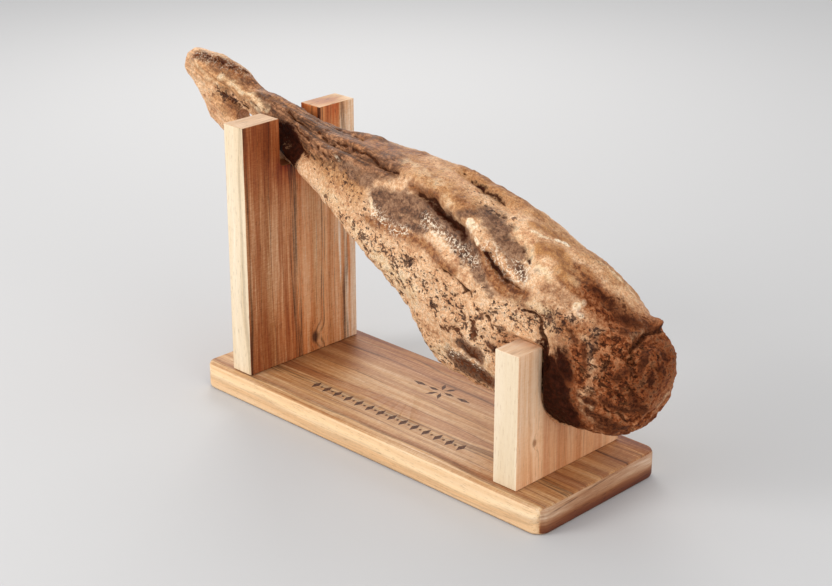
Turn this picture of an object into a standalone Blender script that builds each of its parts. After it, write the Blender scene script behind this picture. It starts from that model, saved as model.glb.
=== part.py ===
"""A whole cured leg of ham lying in a wooden stand.

The stand is a board with two uprights. The thin end of the leg lies in a notch in the tall
rear upright, and the thick end lies in a round cut in the low front upright.

Metres. The origin is the middle of the board's underside. +X runs from the tall upright to
the low one, +Y runs away from the side that is seen, and +Z is up.
"""

import math

import bmesh
import bpy
import numpy as np
from mathutils import Matrix
from mathutils import Vector
from mathutils import noise

MM = 0.001
CLEARANCE = 0.3 * MM

# The board underneath.
BOARD_LENGTH = 420.0 * MM
BOARD_WIDTH = 155.2 * MM
BOARD_THICKNESS = 25.0 * MM
BOARD_CORNER = 12.6 * MM
BOARD_EDGE = 3.0 * MM

# The tall rear upright and its square notch.
REAR_SETBACK = 33.3 * MM
REAR_THICKNESS = 25.4 * MM
REAR_WIDTH = 136.7 * MM
REAR_SHIFT = -1.0 * MM
REAR_HEIGHT = 239.7 * MM
REAR_NOTCH_WIDTH = 49.4 * MM
REAR_NOTCH_DEPTH = 45.0 * MM
REAR_NOTCH_FILLET = 4.0 * MM

# The low front upright and its round cut.
FRONT_SETBACK = 35.8 * MM
FRONT_THICKNESS = 25.5 * MM
FRONT_WIDTH = 133.4 * MM
FRONT_HEIGHT = 120.1 * MM
FRONT_CUT_RADIUS = 37.6 * MM
FRONT_CUT_CENTRE = 81.5 * MM
UPRIGHT_EDGE = 0.8 * MM

# The leg's axis, as X and Z of its two ends.
AXIS_HOCK = (-313.0 * MM, 269.5 * MM)
AXIS_BUTT = (269.5 * MM, 135.0 * MM)
HOCK_ROUNDING = 10.0 * MM
BUTT_ROUNDING = 85.0 * MM
BUTT_FULLNESS = 2.4
SECTION_FULLNESS = 2.25

# Sections across the leg in millimetres: the distance along the axis, then the heights above
# the axis of the top, the widest line and the underside, then the reach to the near side and
# to the far side.
SECTIONS = {
    "hock tip": (0, 29, 17, 9, 8, 8),
    "hock rim": (20, 36, 13, 2, 11, 11),
    "heel": (48, 42, 10, -24, 13, 13),
    "heel point": (70, 41, 8, -29, 14, 14),
    "tendon": (100, 32, 8, -24, 15, 15),
    "in the notch": (140, 30, 9, -18, 17, 19),
    "shank": (200, 33, 2, -16, 27, 28),
    "calf": (250, 46, -2, -24, 38, 38),
    "flank": (300, 57, -6, -42, 47, 47),
    "thigh": (355, 64, -10, -65, 54, 54),
    "belly": (400, 63, -12, -101, 56, 57),
    "low belly": (430, 63, -12, -98, 55, 57),
    "before the cut": (470, 57, -10, -94, 51, 55),
    "in the cut": (510, 51, -6, -90, 46, 50),
    "rump": (555, 34, -8, -81, 46, 48),
    "butt": (602, 37, -14, -88, 46, 46),
}


def clear_scene():
    for item in list(bpy.data.objects):
        bpy.data.objects.remove(item, do_unlink=True)


def finish(name, colour, roughness):
    """A plain surface finish from an sRGB colour."""
    material = bpy.data.materials.new(name)
    material.use_nodes = True
    shader = material.node_tree.nodes["Principled BSDF"]
    linear = [pow((c + 0.055) / 1.055, 2.4) if c > 0.04045 else c / 12.92 for c in colour]
    shader.inputs["Base Color"].default_value = (*linear, 1.0)
    shader.inputs["Roughness"].default_value = roughness
    shader.inputs["Metallic"].default_value = 0.0
    return material


def add_solid(name, mesh_builder, material, sharp_angle=math.radians(25)):
    """Make a named object from a bmesh, shaded smooth between its sharp edges."""
    mesh = bpy.data.meshes.new(name)
    mesh_builder.to_mesh(mesh)
    mesh_builder.free()
    mesh.materials.append(material)
    mesh.shade_smooth()
    mesh.set_sharp_from_angle(angle=sharp_angle)
    solid = bpy.data.objects.new(name, mesh)
    bpy.context.scene.collection.objects.link(solid)
    return solid


# ---------------------------------------------------------------- the stand

def make_board(material):
    """The board: round corners in plan, softened edges all round."""
    form = bmesh.new()
    bmesh.ops.create_cube(form, size=1.0)
    bmesh.ops.scale(form, vec=(BOARD_LENGTH, BOARD_WIDTH, BOARD_THICKNESS), verts=form.verts)
    bmesh.ops.translate(form, vec=(0, 0, BOARD_THICKNESS / 2), verts=form.verts)
    upright_edges = []
    for edge in form.edges:
        along = edge.verts[0].co - edge.verts[1].co
        if abs(along.z) > 0.9 * along.length:
            upright_edges.append(edge)
    bmesh.ops.bevel(form, geom=upright_edges, offset=BOARD_CORNER, segments=6, profile=0.5,
                    affect="EDGES", clamp_overlap=True, material=-1)
    rims = []
    for edge in form.edges:
        level = edge.verts[0].co.z == edge.verts[1].co.z
        flat = [abs(face.normal.z) > 0.9 for face in edge.link_faces]
        if level and any(flat) and not all(flat):
            rims.append(edge)
    bmesh.ops.bevel(form, geom=rims, offset=BOARD_EDGE, segments=2, profile=0.5,
                    affect="EDGES", clamp_overlap=True, material=-1)
    return add_solid("base_board", form, material)


def arc(centre_y, centre_z, radius, start, end, steps):
    """Points of an arc in the plane of an upright's face."""
    points = []
    for i in range(steps + 1):
        angle = math.radians(start + (end - start) * i / steps)
        points.append((centre_y + radius * math.cos(angle), centre_z + radius * math.sin(angle)))
    return points


def rear_outline(grown=0.0):
    """The tall upright's face, from a bottom corner round to the square notch and back."""
    half = REAR_WIDTH / 2 + grown
    gap = REAR_NOTCH_WIDTH / 2 - grown
    height = REAR_HEIGHT + grown
    floor = REAR_HEIGHT - REAR_NOTCH_DEPTH + grown
    r = REAR_NOTCH_FILLET
    outline = [(-half, 0.0), (half, 0.0), (half, height), (gap, height)]
    outline += arc(gap - r, floor + r, r, 0, -90, 4)
    outline += arc(-gap + r, floor + r, r, -90, -180, 4)
    outline += [(-gap, height), (-half, height)]
    return outline


def front_outline(grown=0.0):
    """The low upright's face with the round cut open at the top."""
    half = FRONT_WIDTH / 2 + grown
    height = FRONT_HEIGHT + grown
    r = FRONT_CUT_RADIUS - grown
    outline = [(-half, 0.0), (half, 0.0), (half, height), (r, height)]
    outline += arc(0.0, FRONT_CUT_CENTRE, r, 0, -180, 30)
    outline += [(-r, height), (-half, height)]
    return outline


def plank(outline, thickness):
    """The outline extruded through the plank's thickness."""
    form = bmesh.new()
    corners = [form.verts.new((0.0, y, z)) for y, z in outline]
    face = form.faces.new(corners)
    grown = bmesh.ops.extrude_face_region(form, geom=[face])
    moved = [item for item in grown["geom"] if isinstance(item, bmesh.types.BMVert)]
    bmesh.ops.translate(form, vec=(thickness, 0, 0), verts=moved)
    bmesh.ops.recalc_face_normals(form, faces=form.faces)
    return form


def make_upright(name, outline, back_x, thickness, shift, material):
    """An upright with the sharpness taken off its edges."""
    form = plank(outline, thickness)
    sharp = []
    for edge in form.edges:
        if edge.calc_face_angle(0.0) > math.radians(40):
            sharp.append(edge)
    bmesh.ops.bevel(form, geom=sharp, offset=UPRIGHT_EDGE, segments=2, profile=0.5,
                    affect="EDGES", clamp_overlap=True, material=-1)
    bmesh.ops.triangulate(form, faces=[f for f in form.faces if len(f.verts) > 4])
    upright = add_solid(name, form, material)
    upright.location = (back_x, shift, BOARD_THICKNESS + CLEARANCE)
    return upright


# ---------------------------------------------------------------- the leg's form

def smoothed(stations, values, x):
    """A curve through the values that never swings past them."""
    stations = np.asarray(stations, float)
    values = np.asarray(values, float)
    step = np.diff(stations)
    slope = np.diff(values) / step
    tangent = np.empty(len(values))
    tangent[0] = slope[0]
    tangent[-1] = slope[-1]
    for i in range(1, len(values) - 1):
        before = slope[i - 1]
        after = slope[i]
        w1 = 2 * step[i] + step[i - 1]
        w2 = step[i] + 2 * step[i - 1]
        tangent[i] = (w1 + w2) / (w1 / before + w2 / after) if before * after > 0 else 0.0
    k = np.clip(np.searchsorted(stations, x, side="right") - 1, 0, len(step) - 1)
    t = np.clip((x - stations[k]) / step[k], 0.0, 1.0)
    rise = (1 + 2 * t) * (1 - t) ** 2 * values[k] + t * t * (3 - 2 * t) * values[k + 1]
    return rise + step[k] * (t * (1 - t) ** 2 * tangent[k] + t * t * (t - 1) * tangent[k + 1])


def ease(low, high, x):
    """0 below low, 1 above high, and a smooth slope between."""
    t = np.clip((x - low) / (high - low), 0.0, 1.0)
    return t * t * (3 - 2 * t)


def bell(distance, width):
    return np.exp(-((distance / width) ** 2))


AXIS_START = np.array(AXIS_HOCK)
AXIS_RUN = np.array(AXIS_BUTT) - AXIS_START
LEG_LENGTH = float(np.linalg.norm(AXIS_RUN))
ALONG = AXIS_RUN / LEG_LENGTH
UP = np.array([-ALONG[1], ALONG[0]])
TABLE = np.array(list(SECTIONS.values()), float) * MM


def plain_leg(s, turn):
    """The leg before its folds and hollows.

    s is the distance along the axis and turn the angle round it, 0 at the top, a quarter turn
    on the near side.
    """
    top, middle, under, near, far = [smoothed(TABLE[:, 0], TABLE[:, i], s) for i in range(1, 6)]
    into_butt = np.clip((s - LEG_LENGTH + BUTT_ROUNDING) / BUTT_ROUNDING, 0.0, 1.0)
    into_hock = np.clip((HOCK_ROUNDING - s) / HOCK_ROUNDING, 0.0, 1.0)
    cap = (1 - into_butt ** BUTT_FULLNESS) ** (1 / BUTT_FULLNESS)
    cap = cap * np.sqrt(1 - into_hock ** 2)
    c = np.cos(turn)
    k = np.sin(turn)
    power = 2 / SECTION_FULLNESS
    height = np.where(c > 0, top - middle, middle - under) * np.sign(c) * np.abs(c) ** power
    reach = np.where(k > 0, near, far) * np.sign(k) * np.abs(k) ** power
    height = height * cap + middle
    x = AXIS_START[0] + ALONG[0] * s + UP[0] * height
    z = AXIS_START[1] + ALONG[1] * s + UP[1] * height
    return np.stack([x, -reach * cap, z], axis=-1)


def outward(s, turn):
    """The direction straight out of the plain leg's surface."""
    step = 0.5 * MM
    low = np.clip(s - step, 0.2 * MM, LEG_LENGTH - 3 * step)
    high = low + 2 * step
    inside = np.clip(s, 0.4 * MM, LEG_LENGTH - 0.4 * MM)
    run = plain_leg(high, turn) - plain_leg(low, turn)
    lap = plain_leg(inside, turn + 0.01) - plain_leg(inside, turn - 0.01)
    normal = np.cross(lap, run)
    size = np.linalg.norm(normal, axis=-1, keepdims=True)
    return normal / np.maximum(size, 1e-15)


def trace(*marks):
    """A line over the leg through marks, each a distance along it in mm and a turn in degrees."""
    marks = np.array(marks, float)
    knots = np.arange(len(marks))
    fine = np.linspace(0, len(marks) - 1, 12 * (len(marks) - 1) + 1)
    s = smoothed(knots, marks[:, 0], fine) * MM
    turn = np.radians(smoothed(knots, marks[:, 1], fine))
    return plain_leg(s, turn)


def away_from(line, points):
    """How far each point is from a traced line."""
    nearest = np.full(len(points), 1e9)
    for a, b in zip(line[:-1], line[1:]):
        span = b - a
        t = np.clip(((points - a) @ span) / max(float(span @ span), 1e-12), 0.0, 1.0)
        gap = np.linalg.norm(points - a - t[:, None] * span, axis=1)
        nearest = np.minimum(nearest, gap)
    return nearest


# Folds, hollows and swellings: how far each stands out (or, if negative, sinks in), how wide
# it is, both in mm, and the line it follows over the leg.
FORMS = {
    "grey meat hollow": (-5.0, 13, (306, 62), (345, 54), (385, 52), (425, 62)),
    "second meat hollow": (-4.5, 13, (406, 10), (432, 24), (458, 40)),
    "roll over the meat": (4.5, 11, (325, 27), (370, 26), (405, 31), (425, 42)),
    "fold under the roll": (-3.5, 4, (337, 37), (370, 37), (401, 41), (422, 54)),
    "fold under the second hollow": (-3.0, 4, (436, 49), (450, 56), (474, 58)),
    "flap near the top": (-2.5, 4, (352, -4), (385, -1), (421, 2)),
    "crest over the flap": (2.5, 8, (345, -16), (385, -14), (430, -12)),
    "crest behind the meat": (2.5, 9, (440, 2), (465, 16), (490, 26)),
    "rump hollow": (-3.5, 12, (500, 11), (530, 12), (562, 4)),
    "rump rim": (2.0, 8, (505, -14), (540, -20), (566, -30)),
    "butt fold": (-5.0, 4.5, (573, -30), (577, 5), (577, 46)),
    "butt tip": (4.0, 6, (560, -42), (564, -36)),
    "butt lobe": (2.5, 18, (594, -10), (597, 30)),
    "fold over the front post": (-4.5, 5, (490, 74), (504, 77), (508, 88), (514, 98)),
    "wrinkle": (-1.5, 4, (404, 75), (442, 82), (460, 91)),
    "swelling under the wrinkle": (2.0, 16, (395, 98), (440, 104)),
    "top sinew": (3.0, 6, (120, -6), (190, -18), (250, -14)),
    "middle sinew": (2.5, 6, (110, 24), (165, 8), (220, 14), (265, 20)),
    "low sinew": (3.5, 7, (150, 40), (200, 42), (255, 44)),
    "upper shank crease": (-2.0, 3.5, (160, -20), (205, -10), (240, 2)),
    "lower shank crease": (-3.0, 3.5, (158, 20), (208, 28), (255, 30), (318, 33)),
    "hollow of the shank": (-5.0, 12, (150, 62), (182, 74), (215, 76)),
    "under muscle": (3.0, 13, (200, 112), (260, 112), (330, 112)),
    "heel hollow": (-9.0, 8, (72, 82), (86, 92), (100, 96)),
    "heel bone": (2.0, 6, (30, 64), (66, 62), (107, 50), (140, 46)),
    "far heel hollow": (-6.0, 11, (84, -90), (120, -92)),
    "hock rim dip": (-1.5, 8, (30, 10), (70, 6)),
}
LUMPS = 1.1 * MM
LUMP_SIZE = 38.0 * MM


def pressed(points):
    """The meat gives way where it lies in the front upright's round cut."""
    front_x = BOARD_LENGTH / 2 - FRONT_SETBACK
    back_x = front_x - FRONT_THICKNESS
    beyond = np.maximum(0.0, np.maximum(back_x - points[:, 0], points[:, 0] - front_x))
    centre_z = BOARD_THICKNESS + CLEARANCE + FRONT_CUT_CENTRE
    top_z = BOARD_THICKNESS + CLEARANCE + FRONT_HEIGHT
    above = np.maximum(0.0, points[:, 2] - top_z)
    slack = np.hypot(beyond, 1.6 * above)
    room = FRONT_CUT_RADIUS - 0.6 * MM + slack * 0.9
    low = np.minimum(points[:, 2] - centre_z, 0.0)
    distance = np.hypot(points[:, 1], low)
    scale = np.minimum(1.0, room / np.maximum(distance, 1e-9))
    result = points.copy()
    result[:, 1] = points[:, 1] * scale
    result[:, 2] = np.where(points[:, 2] < centre_z, centre_z + low * scale, points[:, 2])
    return result


def rested(points):
    """The shank lies on the floor of the rear upright's notch."""
    back_x = REAR_SETBACK - BOARD_LENGTH / 2
    front_x = back_x + REAR_THICKNESS
    beyond = np.maximum(0.0, np.maximum(back_x - points[:, 0], points[:, 0] - front_x))
    floor = BOARD_THICKNESS + CLEARANCE + REAR_HEIGHT - REAR_NOTCH_DEPTH + CLEARANCE
    lowest = floor + 0.2 * MM - 1.2 * np.maximum(0.0, beyond - 1 * MM)
    result = points.copy()
    result[:, 2] = np.maximum(points[:, 2], lowest)
    return result


def leg_surface(s, turn):
    """The whole surface: the plain leg, its forms and its lumps."""
    start = plain_leg(s, turn)
    out = outward(s, turn)
    rise = np.zeros(len(s))
    for height, width, *marks in FORMS.values():
        rise += height * MM * bell(away_from(trace(*marks), start), width * MM)
    for i, point in enumerate(start):
        rise[i] += LUMPS * noise.noise(Vector(point / LUMP_SIZE))
    fade = ease(0.0, 6 * MM, s) * ease(0.0, 2 * MM, LEG_LENGTH - s)
    return rested(pressed(start + out * (rise * fade)[:, None]))


def spread(share, fine, crowd):
    """Places for evenly counted shares, closer together where crowd is larger."""
    count = np.cumsum(crowd)
    count = (count - count[0]) / (count[-1] - count[0])
    return np.interp(share, count, fine)


def ring_place(share):
    """The distance along the leg of a ring, with the rings closer together at both ends."""
    fine = np.linspace(0.0, 1.0, 4001)
    crowd = 1 + 5 * np.exp(-fine / 0.012) + 0.6 * bell(fine - 0.16, 0.06)
    crowd = crowd + 2.5 * np.exp(-(1 - fine) / 0.04)
    return LEG_LENGTH * spread(share, fine, crowd)


def side_turn(share):
    """The turn of a side, with the sides closer together where the near side's folds are."""
    fine = np.linspace(-math.pi, math.pi, 3601)
    crowd = 1 + 2.4 * bell(fine - math.radians(48), math.radians(55))
    return spread(share, fine, crowd)


RINGS = 88
SIDES = 46

# The gap between the bone and the heel's tendon, which goes right through.
TENDON_GAP_PLACE = 104.0 * MM
TENDON_GAP_HEIGHT = -2.5 * MM
TENDON_GAP_HALF_LENGTH = 22.0 * MM
TENDON_GAP_HALF_HEIGHT = 9.5 * MM
TENDON_GAP_SLANT = (-0.36, 0.85, -0.26)


def hidden_cutter(name, form):
    """A shape that is only cut away from the leg and never seen."""
    mesh = bpy.data.meshes.new(name)
    form.to_mesh(mesh)
    form.free()
    cutter = bpy.data.objects.new(name, mesh)
    bpy.context.scene.collection.objects.link(cutter)
    cutter.hide_render = True
    cutter.display_type = "WIRE"
    return cutter


def tendon_gap():
    """A long rounded hole along the shank."""
    form = bmesh.new()
    bmesh.ops.create_uvsphere(form, u_segments=20, v_segments=12, radius=1.0)
    long_way = Vector((ALONG[0], 0.0, ALONG[1]))
    through = Vector(TENDON_GAP_SLANT).normalized()
    across = long_way.cross(through).normalized()
    frame = Matrix((long_way * TENDON_GAP_HALF_LENGTH, across * TENDON_GAP_HALF_HEIGHT,
                    through * 34 * MM)).transposed()
    bmesh.ops.transform(form, matrix=frame.to_4x4(), verts=form.verts)
    bmesh.ops.recalc_face_normals(form, faces=form.faces)
    centre = AXIS_START + ALONG * TENDON_GAP_PLACE + UP * TENDON_GAP_HEIGHT
    cutter = hidden_cutter("tendon_gap_cutter", form)
    cutter.location = (centre[0], 0.0, centre[1])
    return cutter


def make_leg(material, cutters):
    """A closed ball of rings and sides drawn out into the leg."""
    form = bmesh.new()
    bmesh.ops.create_uvsphere(form, u_segments=SIDES, v_segments=RINGS, radius=1.0)
    ball = np.array([vert.co for vert in form.verts])
    share = np.arccos(np.clip(ball[:, 2], -1.0, 1.0)) / math.pi
    turn = side_turn(np.arctan2(ball[:, 1], ball[:, 0]) / (2 * math.pi) + 0.5)
    places = leg_surface(ring_place(share), turn)
    for vert, place in zip(form.verts, places):
        vert.co = place
    bmesh.ops.triangulate(form, faces=form.faces)
    bmesh.ops.recalc_face_normals(form, faces=form.faces)
    leg = add_solid("ham", form, material, math.radians(75))
    for cutter in cutters:
        cut = leg.modifiers.new("clear of " + cutter.name, "BOOLEAN")
        cut.operation = "DIFFERENCE"
        cut.solver = "EXACT"
        cut.object = cutter
    return leg


def build():
    clear_scene()
    board_wood = finish("base_board", (0.66, 0.47, 0.31), 0.55)
    rear_wood = finish("rear_upright", (0.62, 0.41, 0.26), 0.55)
    front_wood = finish("front_upright", (0.72, 0.56, 0.40), 0.55)
    meat = finish("ham", (0.60, 0.42, 0.27), 0.50)
    rear_x = REAR_SETBACK - BOARD_LENGTH / 2
    front_x = BOARD_LENGTH / 2 - FRONT_SETBACK - FRONT_THICKNESS
    stand_z = BOARD_THICKNESS + CLEARANCE
    make_board(board_wood)
    make_upright("rear_upright", rear_outline(), rear_x, REAR_THICKNESS, REAR_SHIFT, rear_wood)
    make_upright("front_upright", front_outline(), front_x, FRONT_THICKNESS, 0.0, front_wood)
    rear_room = hidden_cutter("rear_room", plank(rear_outline(CLEARANCE), REAR_THICKNESS + 2 * CLEARANCE))
    rear_room.location = (rear_x - CLEARANCE, REAR_SHIFT, stand_z)
    front_room = hidden_cutter("front_room", plank(front_outline(CLEARANCE), FRONT_THICKNESS + 2 * CLEARANCE))
    front_room.location = (front_x - CLEARANCE, 0.0, stand_z)
    make_leg(meat, [tendon_gap(), rear_room, front_room])


build()
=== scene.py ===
import math
from functools import partial

import bmesh
import bpy
import numpy as np
from mathutils import Matrix
from mathutils import Vector
from mathutils import noise
from mathutils.kdtree import KDTree


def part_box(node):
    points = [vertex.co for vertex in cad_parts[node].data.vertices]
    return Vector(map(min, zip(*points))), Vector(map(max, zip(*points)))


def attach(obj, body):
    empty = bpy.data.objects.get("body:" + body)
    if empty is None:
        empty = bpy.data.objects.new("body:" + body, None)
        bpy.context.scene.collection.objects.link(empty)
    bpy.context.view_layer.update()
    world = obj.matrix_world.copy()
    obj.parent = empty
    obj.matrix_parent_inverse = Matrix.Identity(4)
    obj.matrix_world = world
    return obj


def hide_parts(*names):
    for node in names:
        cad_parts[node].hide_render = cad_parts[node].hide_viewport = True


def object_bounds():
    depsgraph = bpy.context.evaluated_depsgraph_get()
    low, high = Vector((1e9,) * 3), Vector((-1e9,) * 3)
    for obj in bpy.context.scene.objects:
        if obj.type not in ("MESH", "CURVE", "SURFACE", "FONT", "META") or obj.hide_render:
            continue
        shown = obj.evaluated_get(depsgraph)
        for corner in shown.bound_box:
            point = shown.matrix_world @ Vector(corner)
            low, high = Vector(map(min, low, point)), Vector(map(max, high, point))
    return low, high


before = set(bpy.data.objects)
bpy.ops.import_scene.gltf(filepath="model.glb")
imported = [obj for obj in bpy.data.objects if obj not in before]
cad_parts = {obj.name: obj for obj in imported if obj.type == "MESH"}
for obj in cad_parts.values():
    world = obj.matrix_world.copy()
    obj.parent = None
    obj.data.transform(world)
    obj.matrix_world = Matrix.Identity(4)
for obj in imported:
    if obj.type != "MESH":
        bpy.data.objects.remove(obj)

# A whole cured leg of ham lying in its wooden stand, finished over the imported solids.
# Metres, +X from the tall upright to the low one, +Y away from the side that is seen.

MM = 0.001
CAD_LOW, CAD_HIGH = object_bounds()
REAR_LOW, REAR_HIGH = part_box("rear_upright")
FRONT_LOW, FRONT_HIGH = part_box("front_upright")
BOARD_LOW, BOARD_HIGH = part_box("base_board")

# The cuts that hold the leg: the notch's depth, the round cut's radius and the height of its
# middle, and how far the skin keeps off the wood of each.
NOTCH_DEPTH = 45 * MM
NOTCH_PLAY = 0.5 * MM
CUT_RADIUS = 37.6 * MM
CUT_MIDDLE_Z = FRONT_LOW[2] + 81.5 * MM
CUT_PLAY = 0.6 * MM


# ---- nodes and colours

def tone(hex_colour):
    """An sRGB hex value as linear red, green, blue and alpha."""
    parts = [int(hex_colour[i:i + 2], 16) / 255 for i in (1, 3, 5)]
    return (*[c / 12.92 if c <= 0.04045 else ((c + 0.055) / 1.055) ** 2.4 for c in parts], 1.0)


def feed(tree, node, feeds):
    """Give a node's inputs, by name or number, a value or the socket that feeds them."""
    for name, value in feeds.items():
        if isinstance(value, bpy.types.NodeSocket):
            tree.links.new(value, node.inputs[name])
        else:
            node.inputs[name].default_value = value


def add_node(tree, kind, feeds=None, stops=None, **settings):
    """Add a shader node with its feeds, its colour stops and its other settings.

    A kind may end in the node's operation, as in "Math multiply". In Map Range nodes inputs 1
    and 2 are the two ends that are read, and 3 and 4 the two that are given. In Mix nodes 6 and 7
    are the two colours.
    """
    kind, _, operation = kind.partition(" ")
    made = tree.nodes.new("ShaderNode" + kind)
    if operation:
        made.operation = operation.upper()
    for name, value in settings.items():
        setattr(made, name, value)
    feed(tree, made, feeds or {})
    if stops:
        bands = made.color_ramp.elements
        while len(bands) < len(stops):
            bands.new(1.0)
        for band, (place, colour) in zip(bands, stops):
            band.position = place
            band.color = tone(colour)
    return made.outputs


# what gives a Map Range node a soft start and end
SMOOTH = {"interpolation_type": "SMOOTHSTEP"}


def new_material(name):
    """A material, its tree, its Principled shader, and what adds a node to that tree."""
    material = bpy.data.materials.new(name)
    material.use_nodes = True
    tree = material.node_tree
    return material, tree, tree.nodes["Principled BSDF"], partial(add_node, tree)


# ---- the leg's form

# The leg's axis, as X and Z of its two ends, and how its two ends are rounded.
AXIS_HOCK = (-313.0 * MM, 269.5 * MM)
AXIS_BUTT = (269.5 * MM, 135.0 * MM)
HOCK_ROUNDING = 10.0 * MM
BUTT_ROUNDING = 85.0 * MM
BUTT_FULLNESS = 2.4
SECTION_FULLNESS = 2.25

# Sections across the leg in millimetres: the distance along the axis, then the heights above
# the axis of the top, the widest line and the underside, then the reach to the near side and
# to the far side.
SECTIONS = {
    "hock tip": (0, 29, 17, 9, 8, 8),
    "hock rim": (20, 36, 13, 2, 11, 11),
    "heel": (48, 42, 10, -24, 13, 13),
    "heel point": (70, 41, 8, -29, 14, 14),
    "tendon": (100, 32, 8, -24, 15, 15),
    "in the notch": (140, 30, 9, -18, 17, 19),
    "shank": (200, 33, 2, -16, 27, 28),
    "calf": (250, 46, -2, -24, 38, 38),
    "flank": (300, 57, -6, -42, 47, 47),
    "thigh": (355, 64, -10, -65, 54, 54),
    "belly": (400, 63, -12, -101, 56, 57),
    "low belly": (430, 63, -12, -98, 55, 57),
    "before the cut": (470, 57, -10, -94, 51, 55),
    "in the cut": (510, 51, -6, -90, 46, 50),
    "rump": (555, 34, -8, -81, 46, 48),
    "butt": (602, 37, -14, -88, 46, 46),
}


def smoothed(stations, values, x):
    """A curve through the values that never swings past them."""
    stations = np.asarray(stations, float)
    values = np.asarray(values, float)
    step = np.diff(stations)
    slope = np.diff(values) / step
    tangent = np.empty(len(values))
    tangent[0] = slope[0]
    tangent[-1] = slope[-1]
    for i in range(1, len(values) - 1):
        before = slope[i - 1]
        after = slope[i]
        w1 = 2 * step[i] + step[i - 1]
        w2 = step[i] + 2 * step[i - 1]
        tangent[i] = (w1 + w2) / (w1 / before + w2 / after) if before * after > 0 else 0.0
    k = np.clip(np.searchsorted(stations, x, side="right") - 1, 0, len(step) - 1)
    t = np.clip((x - stations[k]) / step[k], 0.0, 1.0)
    rise = (1 + 2 * t) * (1 - t) ** 2 * values[k] + t * t * (3 - 2 * t) * values[k + 1]
    return rise + step[k] * (t * (1 - t) ** 2 * tangent[k] + t * t * (t - 1) * tangent[k + 1])


def ease(low, high, x):
    """0 below low, 1 above high, and a smooth slope between."""
    t = np.clip((x - low) / (high - low), 0.0, 1.0)
    return t * t * (3 - 2 * t)


def bell(distance, width):
    """1 at no distance, falling away smoothly over the width."""
    return np.exp(-((distance / width) ** 2))


AXIS_START = np.array(AXIS_HOCK)
AXIS_RUN = np.array(AXIS_BUTT) - AXIS_START
LEG_LENGTH = float(np.linalg.norm(AXIS_RUN))
ALONG = AXIS_RUN / LEG_LENGTH
UP = np.array([-ALONG[1], ALONG[0]])
TABLE = np.array(list(SECTIONS.values()), float) * MM


def powered(value, power):
    """A power that keeps its value's sign."""
    return np.sign(value) * np.abs(value) ** power


def section(s):
    """Top, widest line, underside, near reach and far reach of the leg at s."""
    return [smoothed(TABLE[:, 0], TABLE[:, i], s) for i in range(1, 6)]


def plain_leg(s, turn):
    """The leg before its folds and hollows.

    s is the distance along the axis and turn the angle round it, 0 at the top, a quarter turn
    on the near side.
    """
    top, middle, under, near, far = section(s)
    into_butt = np.clip((s - LEG_LENGTH + BUTT_ROUNDING) / BUTT_ROUNDING, 0.0, 1.0)
    into_hock = np.clip((HOCK_ROUNDING - s) / HOCK_ROUNDING, 0.0, 1.0)
    cap = (1 - into_butt ** BUTT_FULLNESS) ** (1 / BUTT_FULLNESS)
    cap = cap * np.sqrt(1 - into_hock ** 2)
    c = np.cos(turn)
    k = np.sin(turn)
    height = np.where(c > 0, top - middle, middle - under) * powered(c, 2 / SECTION_FULLNESS)
    reach = np.where(k > 0, near, far) * powered(k, 2 / SECTION_FULLNESS)
    height = height * cap + middle
    x = AXIS_START[0] + ALONG[0] * s + UP[0] * height
    z = AXIS_START[1] + ALONG[1] * s + UP[1] * height
    return np.stack([x, -reach * cap, z], axis=-1)


def chart(points):
    """Roughly where points near the surface lie on the plain leg: s and turn."""
    rise = points[:, [0, 2]] - AXIS_START
    s = np.clip(rise @ ALONG, 0.5 * MM, LEG_LENGTH - 0.5 * MM)
    top, middle, under, near, far = section(s)
    height = rise @ UP - middle
    across = -points[:, 1]
    c = height / np.where(height > 0, top - middle, middle - under)
    k = across / np.where(across > 0, near, far)
    return s, np.arctan2(powered(k, SECTION_FULLNESS / 2), powered(c, SECTION_FULLNESS / 2))


def outward(s, turn):
    """The direction straight out of the plain leg's surface."""
    step = 0.5 * MM
    low = np.clip(s - step, 0.2 * MM, LEG_LENGTH - 3 * step)
    high = low + 2 * step
    inside = np.clip(s, 0.4 * MM, LEG_LENGTH - 0.4 * MM)
    run = plain_leg(high, turn) - plain_leg(low, turn)
    lap = plain_leg(inside, turn + 0.01) - plain_leg(inside, turn - 0.01)
    normal = np.cross(lap, run)
    size = np.linalg.norm(normal, axis=-1, keepdims=True)
    return normal / np.maximum(size, 1e-15)


def trace(marks):
    """A line over the leg through marks, each a distance along it in mm and a turn in degrees."""
    marks = np.array(marks, float)
    knots = np.arange(len(marks))
    fine = np.linspace(0, len(marks) - 1, 8 * (len(marks) - 1) + 1)
    s = smoothed(knots, marks[:, 0], fine) * MM
    turn = np.radians(smoothed(knots, marks[:, 1], fine))
    return plain_leg(np.minimum(s, LEG_LENGTH - 1 * MM), turn)


def stroke(points, width, marks):
    """1 on the traced line, falling away over its width, in mm, to each side."""
    line = trace(marks)
    reach = 2.6 * width * MM
    near = np.all((points > line.min(axis=0) - reach) & (points < line.max(axis=0) + reach), axis=1)
    close = points[near]
    gap = np.full(len(close), 1e9)
    for a, b in zip(line[:-1], line[1:]):
        span = b - a
        t = np.clip(((close - a) @ span) / max(float(span @ span), 1e-12), 0.0, 1.0)
        gap = np.minimum(gap, np.linalg.norm(close - a - t[:, None] * span, axis=1))
    result = np.zeros(len(points))
    result[near] = bell(gap, width * MM)
    return result


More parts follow.
